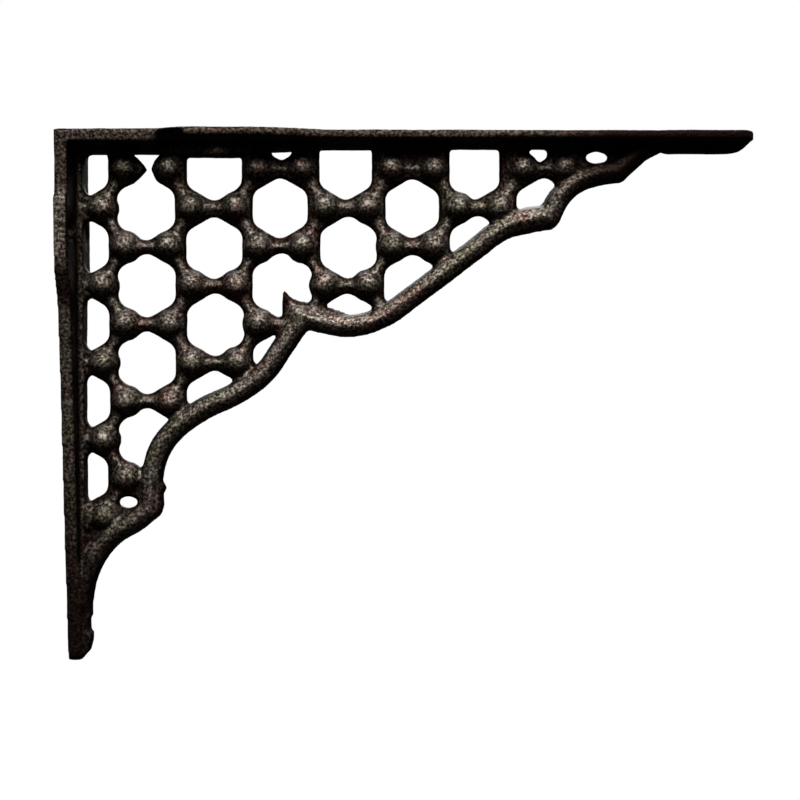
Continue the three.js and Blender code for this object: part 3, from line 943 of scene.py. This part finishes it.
# Painted shade at the foot and darkening at the tip, mixed in as a dark brown
darkened_foot_and_tip = add_node(
    cast_iron, "ShaderNodeMix", settings={"data_type": "RGBA"}, values={"B": to_linear("#180d0b")},
    links={"Factor": foot_shade_and_dark_tip.outputs["Result"], "A": stained.outputs["Result"]})
relief = add_node(
    cast_iron, "ShaderNodeBump", values={"Strength": 1, "Distance": pit_depth * mm},
    links={"Height": grain.outputs["Fac"]})
surface = add_node(
    cast_iron, "ShaderNodeBsdfPrincipled", values={"Metallic": 1, "Roughness": iron_roughness},
    links={"Base Color": darkened_foot_and_tip.outputs["Result"], "Normal": relief.outputs["Normal"]})
add_node(cast_iron, "ShaderNodeOutputMaterial", links={"Surface": surface.outputs["BSDF"]})

casting.data.materials.clear()
casting.data.materials.append(cast_iron)
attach(casting, "root")
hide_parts("shelf_bracket")

# Studio: a pale floor well below the hanging bracket, and white surroundings that give almost no light
floor_drop = 1500
floor_radius = 1600
floor_middle = 120
room_glow = 0.012
put_down()
bpy.ops.mesh.primitive_circle_add(
    vertices=64, radius=floor_radius * mm, fill_type="NGON",
    location=(floor_middle * mm, 0, -floor_drop * mm))
bpy.ops.object.transform_apply(location=True, rotation=True, scale=True)
floor = bpy.context.object
floor.name = "studio_floor"
pale_paper = bpy.data.materials.new("matt_white_paper")
pale_paper.use_nodes = True
pale_paper.node_tree.nodes["Principled BSDF"].inputs["Base Color"].default_value = to_linear("#e8e6e2")
pale_paper.node_tree.nodes["Principled BSDF"].inputs["Roughness"].default_value = 0.9
floor.data.materials.append(pale_paper)
floor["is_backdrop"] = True

world = bpy.data.worlds.new("studio")
bpy.context.scene.world = world
world.use_nodes = True
world.node_tree.nodes.clear()
seen = add_node(world, "ShaderNodeLightPath")
white_wall = add_node(world, "ShaderNodeBackground", values={"Color": (1, 1, 1, 1), "Strength": 1})
dim_room = add_node(world, "ShaderNodeBackground", values={"Color": (1, 1, 1, 1), "Strength": room_glow})
surroundings = add_node(
    world, "ShaderNodeMixShader",
    links={"Fac": seen.outputs["Is Camera Ray"], 1: dim_room.outputs[0], 2: white_wall.outputs[0]})
add_node(world, "ShaderNodeOutputWorld", links={"Surface": surroundings.outputs[0]})


def soft_light(name, azimuth, elevation, distance, size, power):
    """A square soft light with a grid, which faces the lit spot. Angles are in degrees, lengths in metres."""
    a, e = math.radians(azimuth), math.radians(elevation)
    back = Vector((math.sin(a) * math.cos(e), -math.cos(a) * math.cos(e), math.sin(e)))
    bpy.ops.object.light_add(type="AREA", location=lit_spot + back * distance)
    lamp = bpy.context.object
    lamp.name = name
    lamp.data.shape = "SQUARE"
    lamp.data.size = size
    lamp.data.energy = power
    lamp.data.spread = math.radians(grid_spread)
    lamp.rotation_euler = back.to_track_quat("Z", "Y").to_euler()


# One soft light high before each side of the bracket, and faint ones low in front and at both ends
lit_spot = Vector((0.085, 0, 0.015))
grid_spread = 60
soft_light("key_light", azimuth=4, elevation=47, distance=0.6, size=0.6, power=1.7)
soft_light("front_fill", azimuth=-15, elevation=10, distance=1.6, size=0.9, power=0.08)
soft_light("far_side_light", azimuth=176, elevation=47, distance=0.6, size=0.6, power=1.7)
soft_light("shelf_end_light", azimuth=90, elevation=12, distance=1.2, size=0.9, power=0.25)
soft_light("wall_face_light", azimuth=-90, elevation=12, distance=1.2, size=0.9, power=0.4)

bpy.context.scene.view_settings.view_transform = "Standard"

# Camera square to the side of the bracket, in metres, aimed close to the middle of its box
camera_spot = Vector((0.12348, -0.4043, 0.01384))
camera_aim = Vector((0.12221, 0, -0.00003))
camera_lens = 49.5
bpy.ops.object.camera_add(location=camera_spot)
camera = bpy.context.object
camera.data.sensor_width = 36
camera.data.lens = camera_lens
camera.data.clip_start = 0.01
camera.rotation_euler = (camera_aim - camera.location).to_track_quat("-Z", "Y").to_euler()
bpy.context.scene.camera = camera

low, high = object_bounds()
